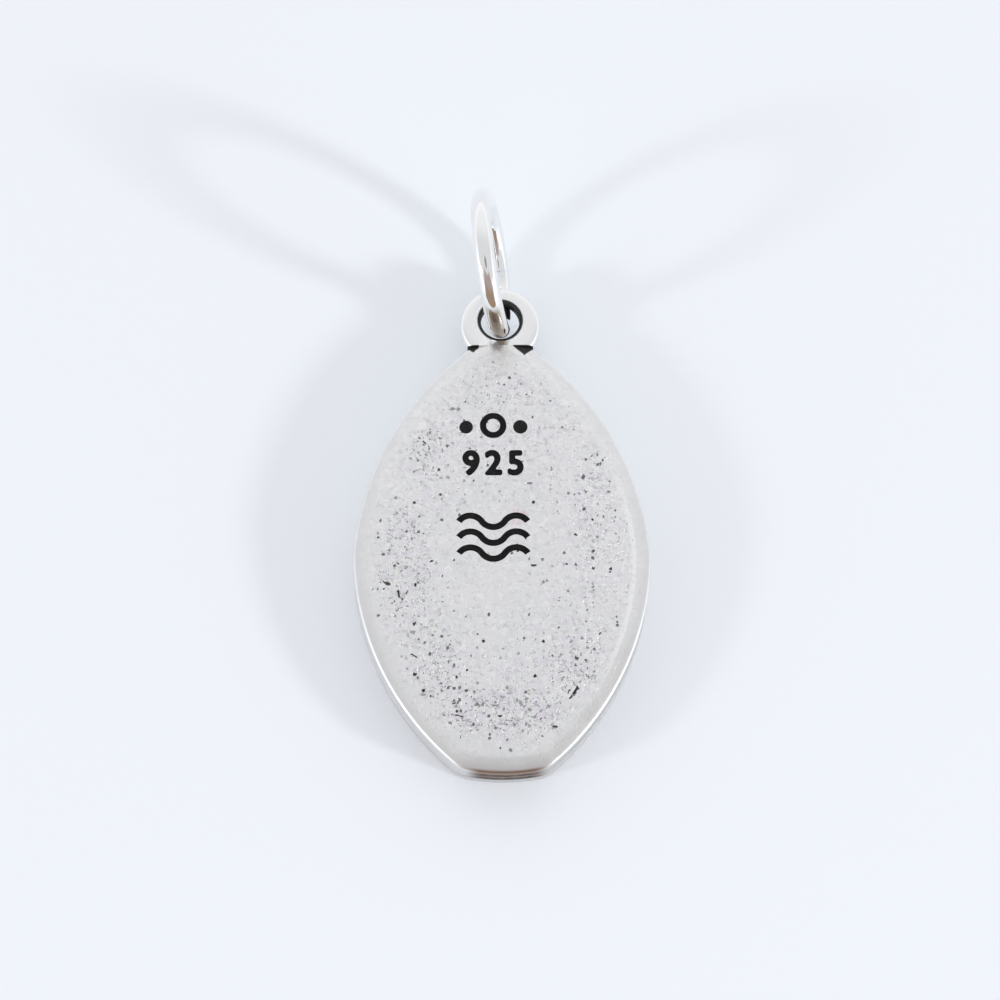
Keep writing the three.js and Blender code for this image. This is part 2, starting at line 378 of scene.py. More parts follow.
# Fine scratches from tumbling: a soft mottling of the shine and a low relief
def makeGrainGroup():
    inputs = [
        ("Place", "NodeSocketVector", (0, 0, 0)),
        ("Scale", "NodeSocketFloat", 6),
        ("Shine", "NodeSocketFloat", 0.2),
        ("Mottle", "NodeSocketFloat", 0.05),
    ]
    outputs = [("Roughness", "NodeSocketFloat"), ("Height", "NodeSocketFloat")]
    group, given, out = newGroup("tumbledGrain", inputs, outputs)
    noise = noiseOf(group, given["Place"], given["Scale"], 5, 0.62)[0]
    group.links.new(plus(group, given["Shine"], wobble(group, noise, given["Mottle"])), out["Roughness"])
    group.links.new(noise, out["Height"])
    return group


# Black sulphide left where polishing doesn't reach; the same black also serves as painted shadow in the
# crevices beside the loop's foot
tarnishAndShade = {"black": (0.012, 0.011, 0.011, 1), "roughness": 0.55, "metallic": 0.1}


def makeTarnishAndShadeGroup():
    inputs = [
        ("Mask", "NodeSocketFloat", 0),
        ("Silver", "NodeSocketColor", (0.9, 0.9, 0.9, 1)),
        ("Roughness", "NodeSocketFloat", 0.2),
    ]
    outputs = [("Color", "NodeSocketColor")]
    outputs += [("Metallic", "NodeSocketFloat"), ("Roughness", "NodeSocketFloat")]
    group, given, out = newGroup("tarnishAndShade", inputs, outputs)
    mask = node(group, "ShaderNodeClamp", {0: given["Mask"]}).outputs[0]
    group.links.new(blendColour(group, mask, given["Silver"], tarnishAndShade["black"]), out["Color"])
    group.links.new(ramp(group, mask, 0.3, 1, 1, tarnishAndShade["metallic"]), out["Metallic"])
    rougher = product(group, minus(group, tarnishAndShade["roughness"], given["Roughness"]), mask)
    group.links.new(plus(group, given["Roughness"], rougher), out["Roughness"])
    return group


# One scratch: a dark line with round ends
def makeScratchGroup():
    inputs = [
        ("Place", "NodeSocketVector", (0, 0, 0)),
        ("From", "NodeSocketVector", (0, 0, 0)),
        ("To", "NodeSocketVector", (1, 0, 0)),
        ("Width", "NodeSocketFloat", 0.05),
    ]
    group, given, out = newGroup("scratch", inputs, [("Mask", "NodeSocketFloat")])
    away = vectors(group, "SUBTRACT", given["Place"], given["From"])[0]
    line = vectors(group, "SUBTRACT", given["To"], given["From"])[0]
    dot = vectors(group, "DOT_PRODUCT", away, line)[1]
    square = vectors(group, "DOT_PRODUCT", line, line)[1]
    share = node(group, "ShaderNodeClamp", {0: maths(group, "DIVIDE", dot, square)}).outputs[0]
    gap = vectors(group, "DISTANCE", away, scaled(group, line, share))[1]
    half = product(group, given["Width"], 0.5)
    group.links.new(ramp(group, gap, half, product(group, half, 0.3)), out["Mask"])
    return group


placeGroup = makePlaceGroup()
grainGroup = makeGrainGroup()
tarnishAndShadeGroup = makeTarnishAndShadeGroup()
scratchGroup = makeScratchGroup()


def coat(tree, shader, mask, silver, roughness):
    done = useGroup(tree, tarnishAndShadeGroup, Mask=mask, Silver=silver, Roughness=roughness)
    for socket, source in (("Base Color", "Color"), ("Metallic", "Metallic"), ("Roughness", "Roughness")):
        tree.links.new(done[source], shader[socket])


def relief(tree, shader, height, distance, strength=1):
    bump = node(tree, "ShaderNodeBump", {"Height": height, "Distance": distance * mm, "Strength": strength})
    tree.links.new(bump.outputs[0], shader["Normal"])


# The satin back, pitted in a broad band round its middle
backFinish = {
    "silver": (0.9, 0.897, 0.9, 1),
    "greenSilver": (0.87, 0.885, 0.875, 1),
    "violetSilver": (0.82, 0.785, 0.855, 1),
    # pale mottling; the same pale tone is the ridge's painted highlight
    "paleSilver": (0.985, 0.985, 0.98, 1),
    "blushSilver": (0.86, 0.72, 0.76, 1),
    # painted shade for the bevel, and for the bevel's low right, the wall and the corner
    "shadedBevelSilver": (0.81, 0.812, 0.808, 1),
    "shadySilver": (0.61, 0.61, 0.6, 1),
    "roughness": 0.42,
    "mottle": 0.12,
    "grainScale": 7,
    "patchScale": 0.5,  # scales are in features to a millimetre
    "patchCrowd": 0.6,
    "baseCrowd": 0.3,
    "crowds": [  # where the pits crowd: middle, half sizes and weight
        ((0, -6.3), (3.4, 1.2), 1.35),
        ((-0.3, 6.7), (2.6, 0.9), 0.7),
        ((-3.7, -0.6), (1.4, 3.2), 1),
        ((3.6, 1.8), (1.2, 3.4), 0.8),
        ((2.7, -4.4), (1.5, 1.6), 1.2),
        ((-2.6, -4.6), (1.3, 1.5), 1.1),
        ((-2.9, 4.2), (1, 1.4), 1),
    ],
    "pits": (3, 0.16, 0.19),  # scale, share where they crowd and size
    "finePits": (4.4, 0.21, 0.25),
    "ticks": (3.4, 0.07, 0.16),
    "tickLean": 0.9,
    "tickSquash": 0.42,
    "bendScale": 6,  # the noise that bends the pits' edges
    "bend": 0.16,
    "pitDepth": 0.05,
    "streakScale": 5,
    "fleckStrength": 0.27,
    "speckScale": 8,
    "speckCrowd": 0.09,
    "speckStrength": 0.6,
    "greenScale": 0.6,
    "violetScale": 3.2,
    "paleScale": 4,
    "paleStrength": 0.8,
    "blush": (0.55, 1.6),
    "bevelScale": 1.2,
    "bevelStrength": 0.85,
    "scratches": [  # from, to and width
        ((-3.3, 5.15), (-2.75, 4.55), 0.07),
        ((-2.85, 4.5), (-2.6, 4.1), 0.05),
        ((-2.45, 3.35), (-2.3, 3.28), 0.2),
        ((-4.75, -0.8), (-4.5, -0.95), 0.08),
        ((-4.5, -0.98), (-4.35, -1.05), 0.16),
        ((-4.0, -1.35), (-3.95, -1.55), 0.16),
        ((-2.95, 0.3), (-2.8, 0.05), 0.09),
        ((-2.4, -0.95), (-2.3, -1), 0.13),
        ((-3.5, -3.9), (-3.3, -4), 0.1),
        ((-2.15, -6.1), (-2.25, -6.35), 0.09),
        ((-1.95, -6.3), (-1.5, -6.4), 0.08),
        ((2.66, -5.68), (2.78, -5.5), 0.13),
        ((2.8, -5.52), (2.93, -5.28), 0.2),
        ((2.58, -5.5), (2.66, -5.35), 0.1),
        ((-0.07, -7.62), (-0.05, -7.65), 0.15),
    ],
}
footStain = {
    "middle": 0.12,
    "half": 1.7,
    "fade": 0.7,
    "tan": (0.33, 0.25, 0.2, 1),
    "brown": (0.06, 0.032, 0.022, 1),
    "lines": (0.85, 1.25),  # heights of the two brown lines
    "lineHalf": 0.19,
    "lineWobble": 0.25,
}
# Painted shadow: dark wedges in the crevices beside the loop's foot, and a dark smear between them
neckShadowAndSmear = {
    "wedges": [(-1.09, 0.24, 0.35), (0.95, 0.42, 0.46)],  # middle, half width and depth
    "ragged": 0.16,
    "raggedScale": 7,
    "smearPlace": -0.16,
    "smearRadius": 0.34,
    "smearStrength": 0.6,
}


def pitMask(tree, place, crowd, kind):
    scale, share, size = backFinish[kind]
    values = {"Vector": place, "Scale": scale, "Randomness": 1}
    cells = node(tree, "ShaderNodeTexVoronoi", values, voronoi_dimensions="2D")
    chance = splitXyz(tree, cells.outputs["Color"])
    present = ramp(tree, plus(tree, chance[0], product(tree, crowd, share)), 0.98, 1.02)
    radius = product(tree, plus(tree, chance[1], 0.4), size)
    inside = ramp(tree, maths(tree, "DIVIDE", cells.outputs["Distance"], radius), 1.1, 0.6)
    return product(tree, present, inside, ramp(tree, chance[2], 0.1, 0.9, 0.3, 1))


# Painted shadow in the crevices beside the loop's foot, narrowing downwards, and a dark smear between them
def neckShadowAndSmearMask(tree, place):
    x, y, _ = splitXyz(tree, place)
    cut = neckY - rowY
    rise = minus(tree, y, cut)
    ragged = wobble(tree, noiseOf(tree, place, neckShadowAndSmear["raggedScale"])[0], neckShadowAndSmear["ragged"])
    wedges = []
    for spot, half, depth in neckShadowAndSmear["wedges"]:
        narrowed = ramp(tree, rise, -depth, 0, 0, half)
        outside = plus(tree, minus(tree, gapFrom(tree, x, spot), narrowed), ragged)
        lowEnd = ramp(tree, rise, -depth, 0.08 - depth)
        wedges.append(product(tree, ramp(tree, outside, 0.04, -0.03), lowEnd))
    crevices = product(tree, strongest(tree, *wedges), ramp(tree, rise, 0.04, 0))
    toSmear = plus(tree, farFrom(tree, x, y, (neckShadowAndSmear["smearPlace"], cut)), ragged)
    radius = neckShadowAndSmear["smearRadius"]
    return strongest(tree, crevices, ramp(tree, toSmear, radius, radius * 0.3, 0, neckShadowAndSmear["smearStrength"]))


def footMask(tree, x, y):
    aside = gapFrom(tree, x, footStain["middle"])
    inside = ramp(tree, aside, footStain["half"], footStain["half"] - footStain["fade"])
    return product(tree, inside, ramp(tree, y, 0.4 - medal["footDrop"], 0.25 - medal["footDrop"]))


# How thickly the pits lie: in a broad band round the middle, and most in the named crowds
def pitCrowd(tree, place, onTop):
    x, y, z = splitXyz(tree, place)
    reach = ovalReach(tree, x, y)
    outOfMiddle = ramp(tree, reach, 0.15, 0.6, 0.3, 1)
    offBevel = ramp(tree, z, ridgeZ - 0.03, ridgeZ + 0.06)
    patches = ramp(tree, noiseOf(tree, place, backFinish["patchScale"])[0], 0.3, 0.6)
    crowd = product(tree, patches, backFinish["patchCrowd"])
    for spot, halves, weight in backFinish["crowds"]:
        crowd = strongest(tree, crowd, ramp(tree, farFrom(tree, x, y, spot, halves), 1.2, 0.5, 0, weight))
    crowd = plus(tree, crowd, backFinish["baseCrowd"])
    return product(tree, outOfMiddle, ramp(tree, reach, 0.96, 0.86), offBevel, onTop, crowd)


def pitsAndScratches(tree, place, crowd, streaks):
    bend = scaled(tree, noiseOf(tree, place, backFinish["bendScale"])[1], backFinish["bend"])
    bent = vectors(tree, "ADD", place, bend)[0]
    squash = (backFinish["tickSquash"], 1, 1)
    turned = {"Vector": bent, "Rotation": (0, 0, backFinish["tickLean"]), "Scale": squash}
    leant = node(tree, "ShaderNodeMapping", turned).outputs[0]
    fleckShare = maths(tree, "MINIMUM", plus(tree, product(tree, crowd, 0.6), 0.35), 1)
    grit = noiseOf(tree, place, backFinish["speckScale"], 3, 0.7)[0]
    grit = plus(tree, grit, product(tree, crowd, backFinish["speckCrowd"]))
    pits = strongest(
        tree,
        pitMask(tree, bent, crowd, "pits"),
        product(tree, pitMask(tree, bent, crowd, "finePits"), 0.85),
        pitMask(tree, leant, crowd, "ticks"),
        product(tree, ramp(tree, streaks, 0.5, 0.68), fleckShare, backFinish["fleckStrength"]),
        ramp(tree, grit, 0.7, 0.78, 0, backFinish["speckStrength"]),
    )
    for start, end, width in backFinish["scratches"]:
        values = {"From": (*start, backZ), "To": (*end, backZ), "Width": width}
        pits = strongest(tree, pits, useGroup(tree, scratchGroup, Place=bent, **values)["Mask"])
    return pits


# The darkened underside, inside the rim, and the crease along the seam
def undersideMask(tree, place):
    x, y, z = splitXyz(tree, place)
    under = ramp(tree, z, seamZ + 0.03, seamZ + 0.01)
    field = product(tree, under, ramp(tree, ovalReach(tree, x, y), 0.9, 0.88))
    ragged = plus(tree, z, wobble(tree, noiseOf(tree, place, 3)[0], 0.012))
    crease = ramp(tree, ragged, seamZ + 0.06, seamZ + 0.02)
    return strongest(tree, field, product(tree, crease, ramp(tree, y, -1, -5, 0.1, 0.5)))


def mottledSilver(tree, place, crowd, streaks):
    x, y, _ = splitXyz(tree, place)
    green = ramp(tree, noiseOf(tree, place, backFinish["greenScale"])[0], 0.4, 0.6)
    colour = blendColour(tree, green, backFinish["silver"], backFinish["greenSilver"])
    violet = ramp(tree, noiseOf(tree, place, backFinish["violetScale"], 4, 0.65, 0.4)[0], 0.42, 0.68)
    violet = product(tree, violet, plus(tree, product(tree, crowd, 0.6), 0.25))
    colour = blendColour(tree, violet, colour, backFinish["violetSilver"])
    clouds = noiseOf(tree, place, backFinish["paleScale"], 4, 0.7, 0.8)[0]
    pale = ramp(tree, clouds, 0.5, 0.64, 0, backFinish["paleStrength"])
    colour = blendColour(tree, pale, colour, backFinish["paleSilver"])
    blush = ramp(tree, farFrom(tree, x, y, backFinish["blush"]), 0.65, 0.15)
    blush = product(tree, blush, ramp(tree, streaks, 0.4, 0.6))
    return blendColour(tree, blush, colour, backFinish["blushSilver"])


# Painted shade on the bevel, deepest at the low right, a painted highlight along the ridge at its top on the
# right side, and painted shade on the wall below it and on the bevel just over the wall's corner
def edgeTones(tree, place, colour):
    x, y, z = splitXyz(tree, place)
    # painted shade on the bevel, more towards the foot and most at the low right
    onBevel = product(tree, ramp(tree, z, ridgeZ + 0.02, ridgeZ - 0.05), ramp(tree, y, 4, -2, 0.45, 1))
    clouds = noiseOf(tree, place, backFinish["bevelScale"])[0]
    onBevel = product(tree, onBevel, ramp(tree, clouds, 0.35, 0.65, 0.7, 1))
    bevel = product(tree, onBevel, backFinish["bevelStrength"])
    colour = blendColour(tree, bevel, colour, backFinish["shadedBevelSilver"])
    lowRight = product(tree, onBevel, ramp(tree, y, -2, -5), ramp(tree, x, 0.5, 2), 0.5)
    colour = blendColour(tree, lowRight, colour, backFinish["shadySilver"])
    # painted highlight along the ridge, on the right side
    ridgeHighlight = ramp(tree, gapFrom(tree, z, ridgeZ), 0.02, 0.006)
    rightSide = product(tree, ramp(tree, x, 0.5, 3.5), ramp(tree, y, -6, -3), ramp(tree, y, 4, 1, 0.2, 1))
    colour = blendColour(tree, product(tree, ridgeHighlight, rightSide), colour, backFinish["paleSilver"])
    # painted shade on the wall, deeper to the right, and on the bevel just over the corner, deeper towards
    # the foot
    wall = ramp(tree, z, plate["wallTop"] + 0.02, plate["wallTop"] - 0.04)
    wall = product(tree, wall, ramp(tree, x, -4, 3, 0.3, 1))
    aboveWall = product(tree, ramp(tree, z, ridgeZ - 0.03, cornerZ), ramp(tree, y, 1, -5, 0.2, 0.5))
    aboveWall = product(tree, aboveWall, ramp(tree, z, cornerZ - 0.02, cornerZ))
    return blendColour(tree, strongest(tree, wall, aboveWall), colour, backFinish["shadySilver"])


def stainFoot(tree, place, colour, streaks):
    x, y, z = splitXyz(tree, place)
    lower, upper = footStain["lines"]
    gap = maths(tree, "MINIMUM", gapFrom(tree, z, lower), gapFrom(tree, z, upper))
    gap = plus(tree, gap, wobble(tree, streaks, footStain["lineWobble"]))
    lined = ramp(tree, gap, footStain["lineHalf"], footStain["lineHalf"] * 0.4)
    lined = product(tree, lined, ramp(tree, noiseOf(tree, place, 3)[0], 0.35, 0.55, 0.6, 1))
    stain = blendColour(tree, lined, footStain["tan"], footStain["brown"])
    stained = product(tree, footMask(tree, x, y), ramp(tree, z, cornerZ + 0.02, cornerZ - 0.03))
    return blendColour(tree, stained, colour, stain)


def makeBackSilver():
    material, tree, shader = newMaterial("satinSilver")
    place = useGroup(tree, placeGroup)["Place"]
    onTop = ramp(tree, splitXyz(tree, place)[2], plate["wallTop"] + 0.1, plate["wallTop"] + 0.3)
    crowd = pitCrowd(tree, place, onTop)
    streaks = noiseOf(tree, place, backFinish["streakScale"], 4, 0.62, 0.7)[0]
    pits = product(tree, pitsAndScratches(tree, place, crowd, streaks), onTop)
    # Pits, the blackened underside and the painted shadow beside the loop's foot all go black
    mask = strongest(tree, pits, undersideMask(tree, place), neckShadowAndSmearMask(tree, place))
    colour = mottledSilver(tree, place, crowd, streaks)
    colour = edgeTones(tree, place, colour)
    colour = stainFoot(tree, place, colour, streaks)
    scale, mottle = backFinish["grainScale"], backFinish["mottle"]
    grain = useGroup(tree, grainGroup, Place=place, Scale=scale, Shine=backFinish["roughness"], Mottle=mottle)
    coat(tree, shader, mask, colour, grain["Roughness"])
    height = minus(tree, product(tree, grain["Height"], onTop, 0.3), pits)
    relief(tree, shader, height, backFinish["pitDepth"])
    return material


polishFinish = {
    "bright": (0.94, 0.94, 0.935, 1),
    "rubbed": (0.92, 0.92, 0.915, 1),
    "brown": (0.33, 0.27, 0.195, 1),
    "wall": (0.68, 0.682, 0.678, 1),  # painted shade on the rim's outer wall, which is left satin
    "wallRoughness": 0.42,
    "rimRoughness": 0.16,
    "roughness": 0.14,
    "ringRoughness": 0.07,
    "mottle": 0.1,
    "grainScale": 3,
    "grainDepth": 0.004,
    "grainStrength": 0.6,
    "raggedScale": 6,
    "spotScale": 9,
}


def polishedSilver(name, toneOf, maskOf):
    material, tree, shader = newMaterial(name)
    place = useGroup(tree, placeGroup)["Place"]
    silver, shine = toneOf(tree, place)
    scale, mottle = polishFinish["grainScale"], polishFinish["mottle"]
    grain = useGroup(tree, grainGroup, Place=place, Scale=scale, Shine=shine, Mottle=mottle)
    coat(tree, shader, maskOf(tree, place), silver, grain["Roughness"])
    relief(tree, shader, grain["Height"], polishFinish["grainDepth"], polishFinish["grainStrength"])
    return material


def raggedEdge(tree, place, value, low, high):
    noise = noiseOf(tree, place, polishFinish["raggedScale"])[0]
    shift = wobble(tree, noise, 0.25 * abs(high - low))
    return ramp(tree, plus(tree, value, shift), low, high)


def rimMask(tree, place):
    x, y, z = splitXyz(tree, place)
    inside = ramp(tree, ovalReach(tree, x, y), 0.94, 0.9)
    deep = product(tree, raggedEdge(tree, place, z, 0.1, 0.5), inside)
    seam = product(tree, ramp(tree, z, seamZ - 0.1, seamZ - 0.04), footMask(tree, x, y), 0.7)
    return strongest(tree, seam, deep)


# The rim's outer wall gets painted shade and a satin roughness
def rimTone(tree, place):
    normal = node(tree, "ShaderNodeNewGeometry").outputs["Normal"]
    outer = ramp(tree, vectors(tree, "DOT_PRODUCT", normal, place)[1], 0.5, 2)
    silver = blendColour(tree, outer, polishFinish["rubbed"], polishFinish["wall"])
    return silver, ramp(tree, outer, 0, 1, polishFinish["rimRoughness"], polishFinish["wallRoughness"])


def fishTone(tree, place):
    return polishFinish["rubbed"], polishFinish["roughness"]


def fishMask(tree, place):
    return raggedEdge(tree, place, splitXyz(tree, place)[2], 0.3, 0.5)


def loopTone(tree, place):
    return polishFinish["bright"], polishFinish["roughness"]


# The loop is blackened in a ragged ring round its hole, and gets the painted shadow of the crevices beside
# its foot
def loopMask(tree, place):
    x, y, _ = splitXyz(tree, place)
    gap = farFrom(tree, x, y, (0, loopPlace["holeY"] - rowY))
    hole = raggedEdge(tree, place, gap, loopPlace["holeRadius"] + 0.17, loopPlace["holeRadius"] + 0.11)
    return strongest(tree, hole, neckShadowAndSmearMask(tree, place))


# The ring's outer side, low on the foot's side, is painted brown: partly tarnish, partly painted shade and a
# painted reflection of the brown surroundings
def ringTone(tree, place):
    inPlane = vectors(tree, "SUBTRACT", place, ringMiddle)[0]
    _, y, z = splitXyz(tree, inPlane)
    outside = ramp(tree, vectors(tree, "LENGTH", inPlane)[1], 2.86, 2.97)
    height = product(tree, ramp(tree, z, -1.4, -0.7), ramp(tree, z, 1.8, 1.4))
    stain = product(tree, outside, height, ramp(tree, y, -1.2, -1.7), 0.85)
    silver = blendColour(tree, stain, polishFinish["bright"], polishFinish["brown"])
    return silver, polishFinish["ringRoughness"]


def ringMask(tree, place):
    return ramp(tree, noiseOf(tree, place, polishFinish["spotScale"], 2)[0], 0.78, 0.84)


markFinish = {
    "black": (0.008, 0.0075, 0.0085, 1),
    "worn": (0.04, 0.037, 0.04, 1),
    "wearScale": 8,
    "sheen": 0.25,
    "depth": 0.02,
}


def makeMarkBlack():
    material, tree, shader = newMaterial("markBlack")
    noise = noiseOf(tree, useGroup(tree, placeGroup)["Place"], markFinish["wearScale"], 4)[0]
    colour = blendColour(tree, ramp(tree, noise, 0.5, 0.8), markFinish["black"], markFinish["worn"])
    tree.links.new(colour, shader["Base Color"])
    tree.links.new(ramp(tree, noise, 0.3, 0.7, 0.5, 0.8), shader["Roughness"])
    shader["Specular IOR Level"].default_value = markFinish["sheen"]
    relief(tree, shader, noise, markFinish["depth"])
    return material


plate = {
    "wallTop": 1.55,
    "cornerRadius": 0.15,
    "bevelRadius": 9.56,
    "ridgeRadius": 0.35,
    "turns": (0, 72, 75, 82),  # the edge's slope at the ends of its three arcs, in degrees
    "steps": (5, 4, 3),
    "flatShare": 0.55,
    "crownSteps": 34,
    "dentSize": 2.2,
    "dentDepth": 0.02,
    "dentFade": 0.2,  # dents begin this far over the wall and are full as far again
}
loopPlace = {
    "radius": 1.6,
    "holeRadius": 0.77,
    "holeRise": 0.14,
    "crownDepth": 0.5,
    "footDepth": 0.98,
    "roundOutside": 0.27,
    "roundHole": 0.1,
    "steps": 128,
    "roundSteps": 6,
    "slack": 0.02,  # how near an edge's points lie to what the edge follows
}


# Heights and insets of the rounded edge, from the wall's top to the ridge
def edgeProfile():
    height = plate["wallTop"]
    inset = 0
    levels = []
    radii = (plate["cornerRadius"], plate["bevelRadius"], plate["ridgeRadius"])
    for radius, start, stop, steps in zip(radii, plate["turns"], plate["turns"][1:], plate["steps"]):
        for k in range(steps):
            a = math.radians(start + (stop - start) * k / steps)
            b = math.radians(start + (stop - start) * (k + 1) / steps)
            inset += radius * (math.cos(a) - math.cos(b))
            height += radius * (math.sin(b) - math.sin(a))
            levels.append((height, inset))
    return levels


edgeLevels = edgeProfile()
cornerZ = edgeLevels[plate["steps"][0] - 1][0]  # where the corner ends
ridgeZ = edgeLevels[-1][0]
loopPlace["y"] = loopHigh.y - loopPlace["radius"]
loopPlace["z"] = (loopLow.z + loopHigh.z) / 2
loopPlace["holeY"] = loopPlace["y"] + loopPlace["holeRise"]

satinSilver = makeBackSilver()
markBlack = makeMarkBlack()
rimSilver = polishedSilver("rimSilver", rimTone, rimMask)
fishSilver = polishedSilver("fishSilver", fishTone, fishMask)
loopSilver = polishedSilver("loopSilver", loopTone, loopMask)
ringSilver = polishedSilver("ringSilver", ringTone, ringMask)
print("materials ready")


# Back plate: wall, rounded edge, slight crown, then the neck filed flat and the marks punched
marks = {
    "number": "925",
    "numberSize": 1.35,
    "numberSpacing": 1.3,
    "numberPlace": (-0.32, 3.75),  # places are from the middle of the widest row
    "numberWeight": 0.06,
    "numberVoxel": 0.025,
    "numberDepth": 0.11,
    "cutterHalf": 0.3,
    "dotRadius": 0.6,
    "dotDepth": 0.1,
    "dots": [(-1.4, 5.3), (0.76, 5.3)],
    "ringPlace": (-0.32, 5.35),
    "ringRadius": 0.4,
    "waves": [1.4, 0.75, 0.1],
    "waveStart": -1.7,
    "waveRadius": 0.55,
    "waveAngle": 110,
    "waveCount": 3,
    "grooveRadius": 0.13,
}


def makeBackPlate():
    piece = drawOutline("back_plate_silver", seamZ, False, True)
    chamfer = medal["seamChamfer"]
    levels = [level(seamZ, chamfer), level(seamZ + chamfer, 0), level(plate["wallTop"], 0)]
    levels += [level(height, inset) for height, inset in edgeLevels]
    inset = edgeLevels[-1][1]
    crownHeight = backZ - ridgeZ
    for k in range(1, plate["crownSteps"]):
        scale = 1 - k / plate["crownSteps"]
        share = min(1, (1 - scale) / (1 - plate["flatShare"]))
        levels.append(level(backZ - crownHeight * (1 - share) ** 2, inset, scale))
    growLevels(levels)
    bpy.ops.mesh.merge(type="CENTER")
    bpy.ops.mesh.select_all(action="SELECT")
    cutAt((0, neckY, 0), (0, 1, 0), clear_outer=True)
    closeUp()
    dentBack(piece)
    return piece


# Faint dents in the back, none on the wall
def dentBack(piece):
    top = piece.vertex_groups.new(name="top")
    fade = plate["dentFade"]
    for vertex in piece.data.vertices:
        weight = (vertex.co.z - plate["wallTop"] - fade) / fade
        top.add([vertex.index], min(1, max(0, weight)), "REPLACE")
    dents = bpy.data.textures.new("dents", "CLOUDS")
    dents.noise_scale = plate["dentSize"]
    dents.noise_depth = 1
    pushed = {"direction": "Z", "mid_level": 1, "strength": plate["dentDepth"], "vertex_group": top.name}
    modify("DISPLACE", texture=dents, texture_coords="LOCAL", **pushed)


def makeNumber():
    startPiece()
    x, y = marks["numberPlace"]
    floorZ = backZ - marks["numberDepth"]
    bpy.ops.object.text_add(location=(x, y + rowY, floorZ + marks["cutterHalf"] + marks["numberWeight"]))
    text = bpy.context.object
    text.data.body = marks["number"]
    text.data.size = marks["numberSize"]
    text.data.space_character = marks["numberSpacing"]
    text.data.extrude = marks["cutterHalf"]
    text.data.align_x = "CENTER"
    text.data.align_y = "CENTER"
    bpy.ops.object.convert(target="MESH")
    piece = settle("number_cutter")
    edit()
    closeUp()
    modify("REMESH", mode="VOXEL", voxel_size=marks["numberVoxel"])
    modify("DISPLACE", strength=marks["numberWeight"], mid_level=0)
    modify("REMESH", mode="VOXEL", voxel_size=marks["numberVoxel"])
    return piece


def makeDot(x, y):
    startPiece()
    bpy.ops.mesh.primitive_uv_sphere_add(segments=28, ring_count=14, radius=marks["dotRadius"])
    bpy.ops.transform.translate(value=(x, y + rowY, backZ + marks["dotRadius"] - marks["dotDepth"]))
    return settle("dot_cutter")


def makeRingMark():
    startPiece()
    x, y = marks["ringPlace"]
    bpy.ops.mesh.primitive_torus_add(
        location=(x, y + rowY, backZ),
        major_radius=marks["ringRadius"],
        minor_radius=marks["grooveRadius"],
        major_segments=48,
        minor_segments=12,
    )
    return settle("ring_cutter")


def makeWave(y):
    startPiece()
    turn = math.radians(marks["waveAngle"])
    lean = (math.pi - turn) / 2
    radius = marks["waveRadius"]
    aside = math.cos(lean) * radius
    rise = math.sin(lean) * radius
    centre = Vector((marks["waveStart"] + aside, y + rowY - rise, backZ))
    bpy.ops.mesh.primitive_circle_add(
        vertices=12,
        radius=marks["grooveRadius"],
        fill_type="NGON",
        location=centre + Vector((-aside, rise, 0)),
        rotation=(math.pi / 2, 0, math.pi - lean),
    )
    piece = settle("wave_cutter")
    edit()
    bpy.ops.mesh.select_all(action="SELECT")
    for k in range(marks["waveCount"]):
        way = 1 if k % 2 == 0 else -1
        bpy.ops.mesh.spin(steps=14, angle=turn * way, center=centre, axis=zAxis)
        centre = centre + Vector((aside, rise * way, 0)) * 2
    closeUp()
    return piece


def punchMarks(piece):
    cutters = [makeNumber(), makeRingMark()]
    cutters += [makeDot(x, y) for x, y in marks["dots"]]
    cutters += [makeWave(y) for y in marks["waves"]]
    piece.data.materials.append(satinSilver)
    for cutter in cutters:
        cutter.data.materials.append(markBlack)
        carve(piece, cutter)


backPlate = makeBackPlate()
punchMarks(backPlate)
finishPiece(backPlate, 32, "medal", "back_plate", satinSilver)


# Face rim: a band with a rounded outer edge and a bevelled inner wall
rimShape = {
    "edge": 0.22,
    "edgeSteps": 6,
    "width": 1.05,
    "bevel": 0.18,
    "bevelRound": 0.05,
}


def makeFaceRim():
    drawOutline("face_rim_silver", seamZ, True, False)
    chamfer, corner, roundness = medal["seamChamfer"], rimShape["edge"], rimShape["bevelRound"]
    levels = [level(seamZ, chamfer), level(seamZ - chamfer, 0), level(corner, 0)]
    for k in range(1, rimShape["edgeSteps"] + 1):
        angle = math.pi / 2 * k / rimShape["edgeSteps"]
        levels.append(level(corner * (1 - math.sin(angle)), corner * (1 - math.cos(angle))))
    flatEnd = rimShape["width"] - rimShape["bevel"]
    levels += [level(0, flatEnd - roundness), level(roundness / 3, flatEnd)]
    levels += [level(roundness * 1.6, flatEnd + roundness), level(seamZ, rimShape["width"])]
    growLevels(levels)
    bpy.ops.mesh.select_all(action="DESELECT")
    pick("edges", lambda place, edge: edge.is_boundary)
    bpy.ops.mesh.bridge_edge_loops()
    closeUp()
    return bpy.context.object


faceRim = makeFaceRim()
finishPiece(faceRim, 32, "medal", "face_rim", rimSilver)


# Fish: a half-round band swept along one arc, cut at the nose, mirrored and fused to its other side
fishShape = {
    "sideGap": 1.75,
    "noseGap": 1.5,
    "crossGap": 2.61,
    "tail": 1.9,
    "band": 0.76,
    "crown": 0.3,
    "recess": 0.08,
    "sunk": 0.04,  # below the field's surface
    "overlap": 0.02,  # how far the halves run into each other at the nose
    "steps": 90,
    "voxel": 0.035,
}


